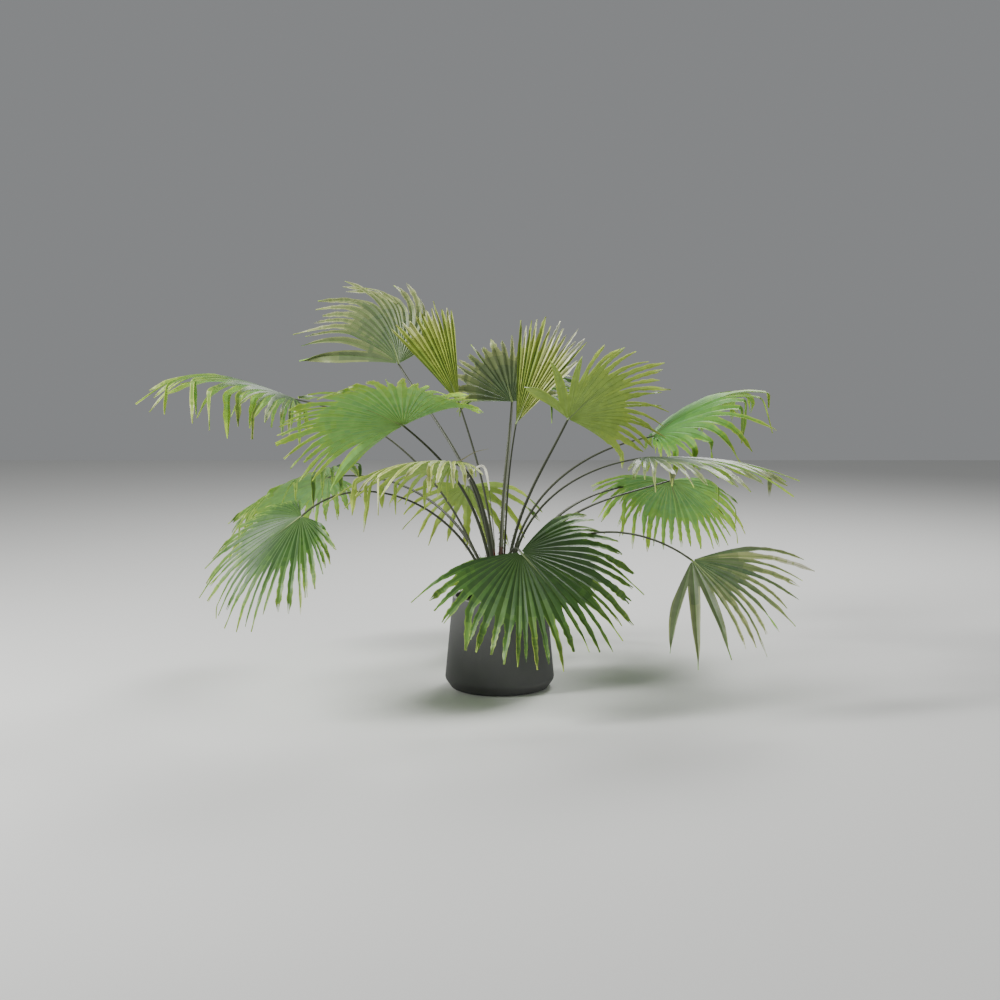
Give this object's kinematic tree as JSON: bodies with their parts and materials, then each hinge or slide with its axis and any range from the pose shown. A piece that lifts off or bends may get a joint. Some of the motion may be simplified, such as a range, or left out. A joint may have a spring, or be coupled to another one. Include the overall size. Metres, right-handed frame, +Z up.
{
  "type": "chinese fan palm",
  "caption": "Potted Chinese fan palm: round grey pot, short fibrous stem, long arching petioles and pleated fan blades cut into drooping leaf segments.",
  "frame": {"origin": "centre of the pot's flat underside", "axes": "+Z up along the pot's axis, +X towards the plant's right in the picture, +Y towards its back"},
  "size_m": [1.8066, 1.4031, 1.0896],
  "materials": {
    "pot_grey": "matte grey, slightly mottled, like fine concrete",
    "potting_soil": "dark crumbly potting soil",
    "stem_fibre": "red-brown matted leaf-base fibre",
    "petiole_green": "smooth grey-green stalk",
    "blade_green": "satin green leaf, paler on the ribs"
  },
  "bodies": {
    "root": {"pot": "pot_grey", "soil": "potting_soil", "stem": "stem_fibre", "petiole_front_low_lower": "petiole_green", "petiole_front_low_upper": "petiole_green", "petiole_right_low_lower": "petiole_green", "petiole_right_low_upper": "petiole_green", "petiole_right_back": "petiole_green", "petiole_right_level_lower": "petiole_green", "petiole_right_level_upper": "petiole_green", "petiole_right_high_lower": "petiole_green", "petiole_right_high_upper": "petiole_green", "petiole_front_high": "petiole_green", "petiole_young_right": "petiole_green", "petiole_back_high": "petiole_green", "petiole_young_left": "petiole_green", "petiole_left_high": "petiole_green", "petiole_left_upper": "petiole_green", "petiole_left_far": "petiole_green", "petiole_left_low_back_lower": "petiole_green", "petiole_left_low_back_upper": "petiole_green", "petiole_left_low_front_lower": "petiole_green", "petiole_left_low_front_upper": "petiole_green", "petiole_left_near": "petiole_green", "petiole_back_middle": "petiole_green", "petiole_back_low_lower": "petiole_green", "petiole_back_low_upper": "petiole_green", "petiole_back_right": "petiole_green", "petiole_back_upper": "petiole_green", "frond_front_low": "blade_green", "frond_right_low": "blade_green", "frond_right_back": "blade_green", "frond_right_level": "blade_green", "frond_right_high": "blade_green", "frond_front_high": "blade_green", "frond_young_right": "blade_green", "frond_back_high": "blade_green", "frond_young_left": "blade_green", "frond_left_high": "blade_green", "frond_left_upper": "blade_green", "frond_left_far": "blade_green", "frond_left_low_back": "blade_green", "frond_left_low_front": "blade_green", "frond_left_near": "blade_green", "frond_back_middle": "blade_green", "frond_back_low": "blade_green", "frond_back_right": "blade_green", "frond_back_upper": "blade_green"}
  },
  "joints": []
}
